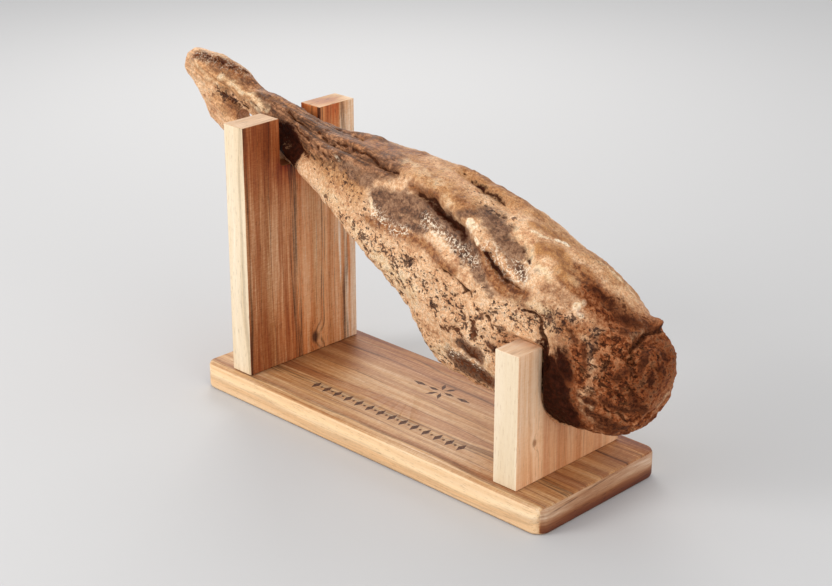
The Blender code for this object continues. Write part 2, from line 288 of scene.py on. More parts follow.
# The main folds, hollows and swellings: how far each stands out (or, if negative, sinks in),
# how wide it is, both in mm, and the line it follows over the leg.
FORMS = {
    "grey meat hollow": (-5.0, 13, (306, 62), (345, 54), (385, 52), (425, 62)),
    "second meat hollow": (-4.5, 13, (406, 10), (432, 24), (458, 40)),
    "roll over the meat": (4.5, 11, (325, 27), (370, 26), (405, 31), (425, 42)),
    "fold under the roll": (-3.5, 4, (337, 37), (370, 37), (401, 41), (422, 54)),
    "fold under the second hollow": (-3.0, 4, (436, 49), (450, 56), (474, 58)),
    "flap near the top": (-2.5, 4, (352, -4), (385, -1), (421, 2)),
    "crest over the flap": (2.5, 8, (345, -16), (385, -14), (430, -12)),
    "crest behind the meat": (2.5, 9, (440, 2), (465, 16), (490, 26)),
    "rump hollow": (-3.5, 12, (500, 11), (530, 12), (562, 4)),
    "rump rim": (2.0, 8, (505, -14), (540, -20), (566, -30)),
    "butt fold": (-5.0, 4.5, (573, -30), (577, 5), (577, 46)),
    "butt tip": (4.0, 6, (560, -42), (564, -36)),
    "butt lobe": (2.5, 18, (594, -10), (597, 30)),
    "fold over the front post": (-4.5, 5, (490, 74), (504, 77), (508, 88), (514, 98)),
    "wrinkle": (-1.5, 4, (404, 75), (442, 82), (460, 91)),
    "swelling under the wrinkle": (2.0, 16, (395, 98), (440, 104)),
    "top sinew": (3.0, 6, (120, -6), (190, -18), (250, -14)),
    "middle sinew": (2.5, 6, (110, 24), (165, 8), (220, 14), (265, 20)),
    "low sinew": (3.5, 7, (150, 40), (200, 42), (255, 44)),
    "upper shank crease": (-2.0, 3.5, (160, -20), (205, -10), (240, 2)),
    "lower shank crease": (-3.0, 3.5, (158, 20), (208, 28), (255, 30), (318, 33)),
    "hollow of the shank": (-5.0, 12, (150, 62), (182, 74), (215, 76)),
    "under muscle": (3.0, 13, (200, 112), (260, 112), (330, 112)),
    "heel hollow": (-9.0, 8, (72, 82), (86, 92), (100, 96)),
    "heel bone": (2.0, 6, (30, 64), (66, 62), (107, 50), (140, 46)),
    "far heel hollow": (-6.0, 11, (84, -90), (120, -92)),
    "hock rim dip": (-1.5, 8, (30, 10), (70, 6)),
}
# low lumps all over: their height and their size in mm
LUMPS = 1.1
LUMP_SIZE = 38.0

# Sharp creases and thin ridges that are laid over the main forms, in the same terms.
CREASES = {
    "shank line": (-2.4, 1.5, (150, 18), (165, 19), (190, 21), (205, 23), (228, 30), (245, 30)),
    "long shank line": (-2.6, 1.5, (222, 22), (235, 24), (256, 25), (271, 27), (286, 31), (309, 28)),
    "upper shank line": (-1.7, 1.5, (150, -30), (184, -24), (213, -13), (226, -6), (240, 0)),
    "under the shank sinew": (-1.6, 1.8, (150, 39), (179, 42), (200, 46), (232, 49), (246, 46)),
    "roll fold": (-2.8, 2.4, (340, 38), (364, 37), (382, 40), (394, 40), (403, 45)),
    "roll fold, deep part": (-2.4, 4.0, (366, 39), (380, 41), (394, 42)),
    "top flap": (-2.2, 1.6, (352, -8), (365, -4), (387, -2), (400, -2), (413, 1)),
    "second hollow edge": (-1.0, 2.0, (402, 4), (408, 7), (425, 15), (441, 23), (457, 28), (466, 32)),
    "second hollow fold": (-3.2, 2.4, (431, 49), (443, 55), (456, 59)),
    "second hollow fold, shallow end": (-1.4, 2.4, (456, 59), (470, 58)),
    "side wrinkle": (-2.6, 1.5, (398, 73), (408, 76), (426, 79), (441, 85), (447, 88), (462, 92)),
    "side wrinkle branch": (-1.8, 1.6, (417, 85), (425, 80), (434, 76)),
    "butt fold line": (-5.0, 2.7, (562, -46), (566, -34), (568, -10), (570, 12), (571, 32)),
    "post fold line": (-2.8, 2.8, (482, 70), (493, 70), (501, 80), (506, 89), (514, 100)),
    "rim slit": (-1.2, 1.2, (494, -18), (509, -14), (521, -15)),
    "second rim slit": (-1.2, 1.2, (503, -22), (520, -22), (534, -25)),
    "heel line": (-1.0, 1.6, (58, 68), (80, 62), (100, 58), (122, 51)),
    "heel hole": (-2.2, 2.2, (62, 86), (68, 90), (73, 91)),
    "second heel hole": (-1.6, 1.8, (84, 88), (94, 83), (102, 79)),
    "sunken lean": (-2.2, 6.0, (430, 127), (442, 127), (454, 129)),
    "small sunken lean": (-1.6, 4.2, (434, 110), (447, 115)),
    "skin bunched in the notch": (3.0, 6.0, (152, 98), (168, 102)),
    "vein": (1.5, 1.2, (319, 44), (332, 53), (348, 55), (362, 56), (373, 58), (387, 58)),
    "heel sinew": (1.2, 2.0, (60, 58), (87, 50), (107, 43), (132, 46)),
    "heel fibre": (0.9, 1.6, (24, 60), (41, 70), (57, 74)),
    "second heel fibre": (0.9, 1.6, (40, 47), (55, 46), (70, 48)),
    "shank fibre": (0.8, 1.6, (100, 30), (130, 22), (165, 10), (200, 6)),
    "second shank fibre": (0.8, 1.6, (110, 8), (150, -2), (190, -10), (230, -5)),
    "third shank fibre": (0.7, 1.5, (160, 30), (200, 33), (240, 37), (262, 42)),
    "fold lip": (2.0, 3.4, (352, 33), (370, 33), (388, 35), (402, 37), (413, 42)),
    "flap lip": (1.3, 2.6, (356, -13), (372, -9), (392, -8), (410, -6)),
    "fat bead": (1.8, 3.2, (519, 40), (520, 39)),
    "second fat bead": (1.8, 3.0, (522, 33), (523, 33)),
    "third fat bead": (1.5, 3.0, (526, 43), (527, 43)),
    "butt crease": (-1.2, 1.8, (572, 68), (582, 78), (590, 94)),
    "second butt crease": (-2.0, 2.0, (572, 108), (583, 116), (588, 130)),
}


def grain_of(points, size):
    """Smooth noise from -1 to 1 whose bumps are about size mm apart."""
    scaled = points / (size * MM)
    return np.array([noise.noise(Vector(p)) for p in scaled])


def cells_of(points, size):
    """Distance to the nearest of many scattered dots about size mm apart, in dot spacings."""
    scaled = points / (size * MM)
    return np.array([noise.voronoi(Vector(p))[0][0] for p in scaled])


def along_leg(points, squeeze):
    """The same places squeezed along the leg, so that noise on them runs in long fibres."""
    rise = points[:, [0, 2]] - AXIS_START
    s = rise @ ALONG
    h = rise @ UP
    return np.stack([s / squeeze, points[:, 1], h], axis=-1)


def past(points, low, high):
    """How far points lie past a plank, along X."""
    return np.maximum(0.0, np.maximum(low[0] - points[:, 0], points[:, 0] - high[0]))


def pressed(points):
    """The meat gives way where it lies in the front upright's round cut."""
    above = np.maximum(0.0, points[:, 2] - FRONT_HIGH[2])
    # it swells out again beside the plank, and faster above it
    room = CUT_RADIUS - CUT_PLAY + 0.9 * np.hypot(past(points, FRONT_LOW, FRONT_HIGH), 1.6 * above)
    low = np.minimum(points[:, 2] - CUT_MIDDLE_Z, 0.0)
    distance = np.hypot(points[:, 1], low)
    scale = np.minimum(1.0, room / np.maximum(distance, 1e-9))
    result = points.copy()
    result[:, 1] = points[:, 1] * scale
    result[:, 2] = np.where(points[:, 2] < CUT_MIDDLE_Z, CUT_MIDDLE_Z + low * scale, points[:, 2])
    return result


def rested(points):
    """The shank lies on the floor of the rear upright's notch, and sags just past the plank."""
    sag = 1.2 * np.maximum(0.0, past(points, REAR_LOW, REAR_HIGH) - 1 * MM)
    lowest = REAR_HIGH[2] - NOTCH_DEPTH + NOTCH_PLAY - sag
    result = points.copy()
    result[:, 2] = np.maximum(points[:, 2], lowest)
    return result


def boxed(points):
    """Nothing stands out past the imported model's own box."""
    return np.clip(points, np.array(CAD_LOW), np.array(CAD_HIGH))


# ---- where each look lies

# Each look of the leg's surface is brushed on in strokes: strength, width in mm, and the marks
# the stroke runs through.
LOOKS = {
    # smooth lean meat with its dry greyish film
    "meat": [
        (1.1, 12, (304, 62), (326, 55), (350, 49), (375, 46), (398, 49), (414, 56)),
        (0.8, 9, (412, 56), (425, 62), (436, 68)), (0.9, 11, (405, 16), (420, 21), (434, 29), (452, 35)),
        (0.9, 8, (450, 40), (466, 44)), (0.8, 7, (390, 33), (403, 25)),
        (0.75, 9, (252, 52), (270, 53), (288, 51)), (1.0, 7, (312, 67), (330, 66), (346, 64), (362, 60)),
        (1.4, 12, (428, 127), (442, 128), (456, 130)), (1.4, 7.5, (432, 109), (441, 110), (450, 112)),
        (1.1, 3.5, (457, 100), (464, 102)), (0.7, 6, (424, 66), (440, 70), (452, 72)),
    ],
    # dry skin over the shank's sinews and bone
    "shank": [
        (1.2, 20, (128, 20), (170, 24), (215, 26), (262, 26), (290, 26)),
        (1.1, 18, (140, -14), (190, -14), (240, -6), (270, 4)),
        (0.75, 8, (16, 40), (34, 34), (56, 22), (80, 4), (104, -8)),
        (0.8, 34, (140, -90), (200, -90), (250, -90)),
    ],
    # dry fat a little darker than the rest
    "tan": [
        (0.9, 20, (190, 58), (235, 60), (275, 62)), (0.9, 16, (300, 12), (335, 18), (362, 24), (395, 26)),
        (0.9, 14, (330, -10), (390, -8), (450, -12), (520, -20)),
        (0.8, 16, (30, 64), (60, 60), (90, 56), (130, 48)), (0.7, 12, (60, 95), (90, 108)),
    ],
    # deeper brown, dried skin; the strokes under the roll and in the heel's hollow are painted shade
    "brown": [
        (0.9, 9, (48, 42), (70, 33), (92, 14)), (0.8, 10, (95, -2), (130, -12), (160, -20)),
        (0.9, 13, (235, 8), (268, 4), (300, -8)),
        (0.9, 7, (302, 80), (320, 76), (349, 72), (375, 68), (392, 70), (410, 72)),
        (1.1, 10, (415, 52), (433, 55), (444, 60), (463, 63), (477, 62)),
        (0.9, 6, (332, 36), (350, 35), (362, 33)), (0.7, 6, (378, 22), (395, 24)),
        (0.9, 9, (490, 15), (506, 14)), (0.75, 9, (490, 44), (512, 42)),
        (0.8, 16, (520, 66), (540, 56), (548, 44)), (1.7, 15, (502, 17), (530, 14), (552, 2)),
        (0.8, 8, (72, 92), (86, 100), (98, 100)), (0.7, 16, (500, 60), (520, 70), (520, 88)),
        (0.6, 30, (560, -60), (580, -120), (570, 180)), (0.7, 7, (345, -16), (385, -14), (420, -14)),
    ],
    # the dark rind of the butt
    "rind": [
        (1.0, 21, (562, 42), (575, 70), (572, 105)), (1.1, 30, (592, 0), (596, 60)),
        (1.2, 24, (588, 100), (592, 140), (592, 180)), (1.2, 24, (592, 180), (592, 220)),
        (1.0, 16, (532, 92), (538, 106), (550, 130), (560, 160)), (0.95, 11, (540, 76), (546, 96)),
        (0.9, 14, (522, 16), (538, 20), (552, 10)), (0.45, 11, (522, 60), (536, 46)),
        (0.9, 30, (575, -40), (585, -100), (580, 180)),
    ],
    # glassy amber fat
    "amber": [
        (1.1, 10, (467, 17), (476, 10), (484, 12)), (0.9, 6, (443, 4), (454, -2), (466, -5)),
        (0.7, 6, (489, 24), (508, 22)), (0.8, 12, (460, -50), (500, -40), (530, -50)),
    ],
    # pale fat
    "pale": [
        (0.55, 6, (367, 31), (379, 30)), (0.7, 5, (436, 17), (456, 25), (472, 31), (492, 40)),
        (0.7, 6, (500, -16), (520, -20), (540, -24)), (0.75, 15, (325, 102), (371, 102)),
        (0.6, 10, (235, 88), (262, 88), (300, 98)), (0.45, 9, (302, 15), (329, 18), (354, 24)),
        (0.7, 4, (60, 58), (87, 50), (107, 43), (130, 46)), (0.7, 4, (24, 62), (41, 72), (57, 76)),
        (0.6, 5, (95, 60), (120, 60)), (0.6, 14, (420, 118), (400, 130), (380, 140)),
        (0.55, 8, (470, 66), (496, 62), (512, 74)), (0.6, 7, (459, 112), (466, 126)),
        (0.6, 8, (556, 98), (577, 104), (586, 94)), (0.55, 7, (546, 80), (566, 72)),
        (0.5, 8, (540, 56), (556, 50)),
    ],
    # hard white fat that shows through in a few spots, and painted highlights: the glint by the roll's
    # fold, the one at the start of the grey meat hollow, and the thin streak over the amber fat
    "white": [
        (1.2, 4.2, (403, 35), (410, 37)), (1.1, 2.8, (417, 44), (420, 46)),
        (1.1, 1.8, (447, 10), (456, 9), (461, 3), (467, -2), (474, -4)), (1.1, 3.0, (519, 40), (520, 39)),
        (1.1, 3.0, (522, 33), (523, 33)), (1.1, 3.0, (526, 43), (527, 43)),
        (1.3, 2.0, (296, 64), (299, 67), (302, 71)), (0.6, 2.2, (234, 46), (244, 47), (253, 42)),
    ],
    # white grains on the edge of the lean meat
    "crust": [
        (1.1, 4.0, (306, 72), (320, 73), (334, 73), (350, 69)),
        (1.1, 6, (422, 122), (434, 121), (450, 123)),
        (0.8, 6, (360, 53), (375, 56), (390, 56), (409, 57), (420, 60)),
        (1.1, 6, (433, 45), (444, 50), (457, 52), (468, 46)), (0.7, 4, (455, 40), (468, 37)),
        (0.7, 5, (20, 42), (37, 32), (52, 26), (67, 17), (80, 0)),
    ],
    # small dark specks
    "speckle": [
        (1.0, 24, (300, 98), (350, 92), (400, 90), (440, 94), (470, 100)),
        (0.8, 12, (196, 66), (230, 64), (262, 66), (290, 76)), (0.7, 12, (230, 95), (290, 105)),
        (1.3, 12, (462, 80), (485, 78), (500, 72), (520, 56)), (1.0, 32, (550, 60), (575, 90), (580, 30)),
        (0.6, 12, (378, 6), (400, 12), (425, 6)), (0.6, 9, (400, 58), (425, 62), (440, 68)),
        (0.9, 24, (330, 128), (400, 135), (452, 140)), (1.3, 6, (58, 84), (72, 90), (84, 87), (100, 79)),
        (0.8, 40, (300, -90), (400, -100), (500, -90)), (0.8, 34, (330, 170), (400, 165), (470, 170)),
    ],
    # long sinewy fibres
    "fibre": [
        (0.8, 22, (20, 60), (60, 60), (110, 45), (160, 30)), (1.0, 24, (160, 20), (200, 20), (250, 25)),
        (0.9, 14, (60, 100), (90, 110)), (0.8, 20, (60, -90), (150, -90), (220, -90)),
        (0.5, 8, (430, -12), (480, -10), (530, -18)),
    ],
    # soft darkening down in the folds and where the stand hides the skin from the light
    "shade": [
        (0.75, 5.0, (356, 40), (368, 40), (382, 42), (396, 43), (406, 48)),
        (0.5, 5, (338, 38), (356, 37), (366, 38)), (0.7, 4, (431, 48), (443, 54), (456, 58)),
        (0.6, 4, (365, -4), (387, -2), (405, -1)),
        (0.5, 3.5, (408, 7), (425, 15), (441, 23), (457, 28), (466, 32)),
        (1.8, 8, (162, 66), (170, 72), (180, 84), (180, 96)), (1.2, 10, (140, 84), (160, 98), (176, 106)),
        (1.4, 4.5, (505, 91), (514, 101)), (2.6, 10, (515, 103), (520, 112), (526, 126), (532, 140)),
        (1.1, 9, (524, 86), (534, 96)), (0.42, 26, (588, -14), (594, 30), (592, 70)),
        (1.6, 12, (520, 98), (528, 108), (538, 122), (542, 134)), (0.45, 9, (520, 10), (540, 3), (556, -2)),
        (1.2, 5, (150, 70), (158, 78), (164, 86)), (0.6, 4, (72, 24), (50, 34), (36, 38)),
        (0.5, 4, (66, 86), (78, 92), (90, 98)),
    ],
    # dark, dried patches, and painted shadow and shade: beside the low upright's prong, under the shank in
    # the notch, and down in the folds of the butt, the roll and the second hollow
    "dark": [
        (0.72, 9, (520, 10), (530, 6), (542, 3)), (0.85, 10, (546, 5), (556, -3), (564, -12)),
        (1.2, 3.0, (565, -38), (568, -15), (570, 8), (571, 24)),
        (0.76, 11, (432, 127), (444, 128), (456, 131)), (0.66, 7.0, (433, 109), (441, 110), (449, 113)),
        (0.66, 4.0, (457, 100), (465, 103)), (0.9, 3.5, (440, 92), (448, 101)),
        (0.8, 4, (410, 104), (422, 101), (431, 102)), (1.0, 6, (164, 62), (174, 66), (186, 72), (194, 78)),
        (1.0, 8, (150, 80), (170, 92)), (1.3, 10, (508, 94), (518, 99), (526, 107), (534, 122)),
        (1.2, 3.2, (580, 22), (583, 34), (586, 52)), (1.2, 3.4, (591, 18), (593, 8)),
        (1.2, 3.2, (587, -4), (590, -15)), (1.2, 3.2, (591, 38), (594, 52)), (0.9, 6, (578, 58), (574, 74)),
        (1.0, 4.0, (570, 100), (580, 104), (590, 112)), (0.9, 3.5, (528, 62), (534, 68)),
        (0.9, 3.5, (542, 66), (546, 72)), (0.6, 6, (549, 74), (546, 86)), (0.8, 6, (558, 18), (566, 8)),
        (1.1, 4, (550, 106), (563, 107)), (0.8, 4.5, (566, 136), (578, 146)),
        (1.1, 6, (588, 92), (593, 109)), (1.1, 7, (560, 118), (575, 128), (584, 140)),
        (0.62, 5, (20, 46), (30, 44), (37, 32)), (0.64, 5, (42, 26), (52, 22), (67, 14), (80, -4)),
        (0.8, 1.8, (62, 86), (66, 89)), (0.8, 1.6, (74, 91), (76, 91)), (0.8, 1.5, (84, 88), (86, 87)),
        (0.8, 1.6, (95, 82), (99, 80)), (0.7, 1.4, (76, 80), (79, 79)), (0.6, 2.2, (90, 68), (97, 67)),
        (0.6, 2.2, (106, 70), (108, 70)), (0.6, 2.5, (54, 95), (57, 96)), (0.7, 2.4, (316, 34), (318, 34)),
        (0.6, 4, (372, 41), (382, 42), (394, 43)), (0.6, 3.0, (433, 48), (436, 50)),
        (0.5, 6, (478, 70), (496, 70), (506, 66)),
    ],
}

# how many rings lie along the leg, and how many sides each has
RINGS = 400
SIDES = 236
# how much lines and patches wander: wave size and reach, in mm
SWAYS = ((16, 3.0), (5, 1.3))
# the wandering comes out the same in every run
noise.seed_set(7)


def spread(share, fine, crowd):
    """Places for evenly counted shares, closer together where crowd is larger."""
    count = np.cumsum(crowd)
    count = (count - count[0]) / (count[-1] - count[0])
    return np.interp(share, count, fine)


def ring_place(share):
    """The distance along the leg of a ring, with the rings closer together at both ends."""
    fine = np.linspace(0.0, 1.0, 4001)
    crowd = 1 + 4 * np.exp(-fine / 0.012) + 2.5 * np.exp(-(1 - fine) / 0.04)
    return LEG_LENGTH * spread(share, fine, crowd)


def side_turn(share):
    """The turn of a side, with the sides closer together on the near side."""
    fine = np.linspace(-math.pi, math.pi, 3601)
    crowd = 1 + 1.1 * bell(fine - math.radians(55), math.radians(70))
    return spread(share, fine, crowd)


def brushed(start, strokes):
    """One look's strength at every point."""
    strength = np.zeros(len(start))
    for power, width, *marks in strokes:
        strength = np.maximum(strength, power * stroke(start, width, marks))
    return strength


def swayed(points, *waves):
    """The points moved about by waves of a size and a reach in mm, so that lines laid on wander."""
    result = points.copy()
    for size, reach in waves:
        scaled = points / (size * MM)
        result += reach * MM * np.array([noise.noise_vector(Vector(p)) for p in scaled])
    return result


def leg_places(s, turn, start, bent):
    """The leg's whole surface, from its big forms down to its grains."""
    rise = np.zeros(len(s))
    for height, width, *marks in FORMS.values():
        rise += height * stroke(start, width, marks)
    rise += LUMPS * grain_of(start, LUMP_SIZE)
    for height, width, *marks in CREASES.values():
        rise += height * stroke(bent, width, marks)
    meat, crust, speckle, rind, fibre, shank = (
        np.clip(brushed(bent, LOOKS[look]), 0, 1)
        for look in ("meat", "crust", "speckle", "rind", "fibre", "shank"))
    # roughness, its height and then its size in mm: least on lean and shank, most on crusted skin
    calm = (1 - 0.7 * meat) * (1 - 0.55 * shank)
    rough = np.maximum(speckle, rind)
    rise += (1.1 + 0.6 * rough) * grain_of(start, 13) * calm
    rise += (0.7 + 0.5 * rough) * grain_of(start, 5.5) * calm
    rise += (0.30 + 0.25 * rough) * grain_of(start, 2.6)
    rise += 2.4 * rough * grain_of(bent, 8.5)
    # wrinkles: narrow valleys that wander like the shore lines of smooth noise
    rise -= 0.75 * (0.35 + speckle + rind) * calm * bell(grain_of(bent, 15), 0.07)
    rise -= 0.55 * rind * bell(grain_of(bent, 8), 0.10)
    rise += 0.9 * fibre * (1 - 0.4 * shank) * grain_of(along_leg(start, 14), 3.8)
    rise += 0.55 * crust * grain_of(start, 2.7)
    pits = ease(0.0, 0.34, cells_of(bent, 6.5)) - 1
    rise += 0.8 * speckle * pits
    # dry grains on the hock's rim, which is the last of the crust's strokes
    rim = brushed(bent, LOOKS["crust"][-1:])
    rise += 1.1 * rim * (0.5 - cells_of(start, 3.6))
    fade = ease(0.0, 6 * MM, s) * ease(0.0, 2 * MM, LEG_LENGTH - s)
    raised = start + outward(s, turn) * (rise * MM * fade)[:, None]
    return boxed(rested(pressed(raised)))


# The gap's middle, as a distance along the axis and a height over it, half of its length, width
# and depth, and the way it goes through.
GAP_MIDDLE = (104 * MM, -2.5 * MM)
GAP_HALVES = (22 * MM, 9.5 * MM, 34 * MM)
GAP_WAY = (-0.36, 0.85, -0.26)


def tendon_gap():
    """The long rounded hole between the bone and the heel's tendon."""
    form = bmesh.new()
    bmesh.ops.create_uvsphere(form, u_segments=48, v_segments=40, radius=1.0)
    long_way = Vector((ALONG[0], 0.0, ALONG[1]))
    through = Vector(GAP_WAY).normalized()
    across = long_way.cross(through).normalized()
    ways = [way * half for way, half in zip((long_way, across, through), GAP_HALVES)]
    turned = Matrix(ways).transposed()
    bmesh.ops.transform(form, matrix=turned.to_4x4(), verts=form.verts)
    bmesh.ops.recalc_face_normals(form, faces=form.faces)
    middle = AXIS_START + ALONG * GAP_MIDDLE[0] + UP * GAP_MIDDLE[1]
    bmesh.ops.translate(form, vec=(middle[0], 0.0, middle[1]), verts=form.verts)
    return form


def new_piece(name, form, material):
    """An object at the origin from a bmesh, in one material and smooth all over."""
    mesh = bpy.data.meshes.new(name)
    form.to_mesh(mesh)
    form.free()
    mesh.materials.append(material)
    mesh.shade_smooth()
    piece = bpy.data.objects.new(name, mesh)
    bpy.context.scene.collection.objects.link(piece)
    return piece


def cut_away(piece, cutter):
    """Cut one object out of another for good."""
    tool = piece.modifiers.new("cut", "BOOLEAN")
    tool.operation = "DIFFERENCE"
    tool.solver = "EXACT"
    tool.material_mode = "TRANSFER"
    tool.object = cutter
    cut = bpy.data.meshes.new_from_object(piece.evaluated_get(bpy.context.evaluated_depsgraph_get()))
    piece.modifiers.clear()
    old = piece.data
    cut.name = old.name
    piece.data = cut
    bpy.data.meshes.remove(old)
    bpy.data.objects.remove(cutter, do_unlink=True)


def make_ham(material):
    """A closed ball of rings and sides drawn out into the leg, with every look's strength."""
    form = bmesh.new()
    bmesh.ops.create_uvsphere(form, u_segments=SIDES, v_segments=RINGS, radius=1.0)
    ball = np.array([vert.co for vert in form.verts])
    share = np.arccos(np.clip(ball[:, 2], -1.0, 1.0)) / math.pi
    turn = side_turn(np.arctan2(ball[:, 1], ball[:, 0]) / (2 * math.pi) + 0.5)
    s = ring_place(share)
    start = plain_leg(s, turn)
    places = leg_places(s, turn, start, swayed(start, *SWAYS))
    known = KDTree(len(places))
    for i, (vert, place) in enumerate(zip(form.verts, places)):
        vert.co = place
        known.insert(place, i)
    known.balance()
    bmesh.ops.recalc_face_normals(form, faces=form.faces)
    ham = new_piece("cured_ham", form, material)
    cut_away(ham, new_piece("gap", tendon_gap(), material))
    mesh = ham.data
    places = np.zeros(len(mesh.vertices) * 3)
    mesh.vertices.foreach_get("co", places)
    places = places.reshape(-1, 3)
    # the cut keeps the leg's own points, and those that it adds are the gap's walls
    same_place = 0.001 * MM
    plain = plain_leg(*chart(places))
    walls = []
    for i, place in enumerate(places):
        found, k, gap = known.find(place)
        if gap < same_place:
            plain[i] = start[k]
        else:
            walls.append(i)
    start = swayed(plain, *SWAYS)
    for look, strokes in LOOKS.items():
        layer = mesh.attributes.new(look, "FLOAT", "POINT")
        layer.data.foreach_set("value", brushed(start, strokes).astype(np.float32))
    # the gap's walls get the heel's skin, a little browner as painted shade down in the hole
    for i in walls:
        mesh.attributes["brown"].data[i].value = 0.35
        mesh.attributes["dark"].data[i].value = 0.0
    # painted shade down in the creases, darker the deeper they are, and narrower than the crease
    crease_shade_strokes = [(min(1.6, -height / 1.6), max(width * 0.62, 1.0), *marks)
                  for height, width, *marks in CREASES.values() if height < 0 and width < 4.5]
    layer = mesh.attributes.new("crease", "FLOAT", "POINT")
    layer.data.foreach_set("value", brushed(start, crease_shade_strokes).astype(np.float32))
    return ham


# ---- finishes

def cured_meat():
    """Dry-cured leg: a satin, uneven rind over lean meat and fat, air dried for months.

    To the eye it is tan fat with dark pores, greyish lean, amber glassy fat, and near-black
    dried folds, whose dark is partly painted shade. Lean and fat reflect like most food, with an IOR of
    about 1.45.
    """
    material, tree, shader, add = new_material("dry-cured leg")
    place = add("TexCoord")["Object"]
    # noise scales are one over the bump size in metres
    broad, middle, fine, grit = (
        add("TexNoise", {"Vector": place, "Scale": 1 / size, "Detail": detail,
                         "Roughness": roughness})["Fac"]
        for size, detail, roughness in ((0.034, 3.0, 0.5), (0.0095, 4.0, 0.6),
                                        (0.0030, 4.0, 0.65), (0.0012, 2.0, 0.5)))
    lean_way = math.atan2(-ALONG[1], ALONG[0])
    turned = add("Mapping", {"Vector": place, "Rotation": (0.0, -lean_way, 0.0)})["Vector"]
    stretched = add("Mapping", {"Vector": turned, "Scale": (0.10, 1.0, 1.0)})["Vector"]
    fibre = add("TexNoise", {"Vector": stretched, "Scale": 1 / 0.0034, "Detail": 4.0,
                             "Roughness": 0.6})["Fac"]
    blended = {}
    for name, first, second in (("soft", broad, middle), ("rough", middle, fine), ("long", fibre, fine)):
        both = add("Math add", {0: first, 1: second})[0]
        blended[name] = add("Math multiply", {0: both, 1: 0.5})[0]
    both = add("Math add", {0: blended["soft"], 1: fine})[0]
    mixed = add("Math multiply", {0: both, 1: 0.5})[0]
    fat = [(0.38, "#A87450"), (0.46, "#CD9B71"), (0.53, "#E0B78F"), (0.61, "#F0D0AF")]
    colour = add("ValToRGB", {"Fac": mixed}, stops=fat)["Color"]

    def laid_over(under, look, tones, places, mixer, edge, span, ragged, low, high, most=1.0):
        """A colour with a look's tones laid over it, and the mask that lays them.

        mixer mixes the tones, at these places of its range. edge, a noise that stays within
        span of a half, makes the look's outline ragged.
        """
        strength = add("Attribute", attribute_name=look)["Fac"]
        shift = add("MapRange", {"Value": edge, 1: 0.5 - span, 2: 0.5 + span,
                                 3: -ragged / 2, 4: ragged / 2})[0]
        outline = add("Math add", {0: strength, 1: shift})[0]
        mask = add("MapRange", {"Value": outline, 1: low, 2: high, 3: 0.0, 4: most}, **SMOOTH)[0]
        cover = add("ValToRGB", {"Fac": mixer}, stops=list(zip(places, tones)))["Color"]
        return add("Mix", {0: mask, 6: under, 7: cover}, data_type="RGBA")[2], mask

    # each look: its three tones, the noise that mixes them, how ragged its edge is, and where
    # the edge lies
    layers = [
        ("tan", ("#916037", "#B58153", "#D1A274"), "rough", 0.4, 0.10, 0.90),
        ("shank", ("#55331D", "#784E32", "#A47552"), "long", 0.3, 0.10, 0.80),
        ("brown", ("#5E3319", "#8C552D", "#B27F52"), "rough", 0.5, 0.15, 0.95),
        ("amber", ("#915E36", "#B98350", "#D8AE82"), "soft", 0.4, 0.20, 0.85),
        ("pale", ("#C39A72", "#D9B68C", "#EBD1AE"), "rough", 0.5, 0.25, 0.95),
        ("meat", ("#503525", "#7A543B", "#9E795C"), "rough", 0.5, 0.25, 0.75),
        # white fat, and a few painted highlights
        ("white", ("#CFA985", "#E8CDA9", "#F6E6CF"), "rough", 0.4, 0.30, 0.80),
        ("rind", ("#4C200D", "#844827", "#B27A54"), "rough", 0.5, 0.05, 0.80),
    ]
    for look, tones, mixer, *outline in layers:
        colour, mask = laid_over(colour, look, tones, (0.41, 0.50, 0.59), blended[mixer],
                                 middle, 0.2, *outline)
    # the rind, and whatever is darker still, shines less
    darkness = mask

    # grit all over, and long streaks where the sinews lie
    sinewy = add("Attribute", attribute_name="fibre")["Fac"]
    sinewy = add("Math multiply", {0: sinewy, 1: 0.8}, use_clamp=True)[0]
    for source, low, high, share in ((grit, 0.78, 1.22, 0.9), (fibre, 0.45, 1.40, sinewy)):
        streak = add("MapRange", {"Value": source, 1: 0.35, 2: 0.65, 3: low, 4: high})[0]
        colour = add("Mix", {0: share, 6: colour, 7: streak}, data_type="RGBA", blend_type="MULTIPLY")[2]

    # white grains and curled threads of dry crust
    crust = add("Attribute", attribute_name="crust")["Fac"]
    curl = add("TexNoise", {"Vector": place, "Scale": 1 / 0.0036, "Detail": 2.0})["Fac"]
    curl = add("Math subtract", {0: curl, 1: 0.5})[0]
    curl = add("Math absolute", {0: curl})[0]
    thread = add("MapRange", {"Value": curl, 1: 0.018, 2: 0.050, 3: 1.3, 4: 0.0})[0]
    kept = add("MapRange", {"Value": fine, 1: 0.42, 2: 0.50})[0]
    thread = add("Math multiply", {0: thread, 1: kept})[0]
    crusted = add("Math multiply", {0: crust, 1: thread}, use_clamp=True)[0]
    colour = add("Mix", {0: crusted, 6: colour, 7: tone("#F1DFC6")}, data_type="RGBA")[2]

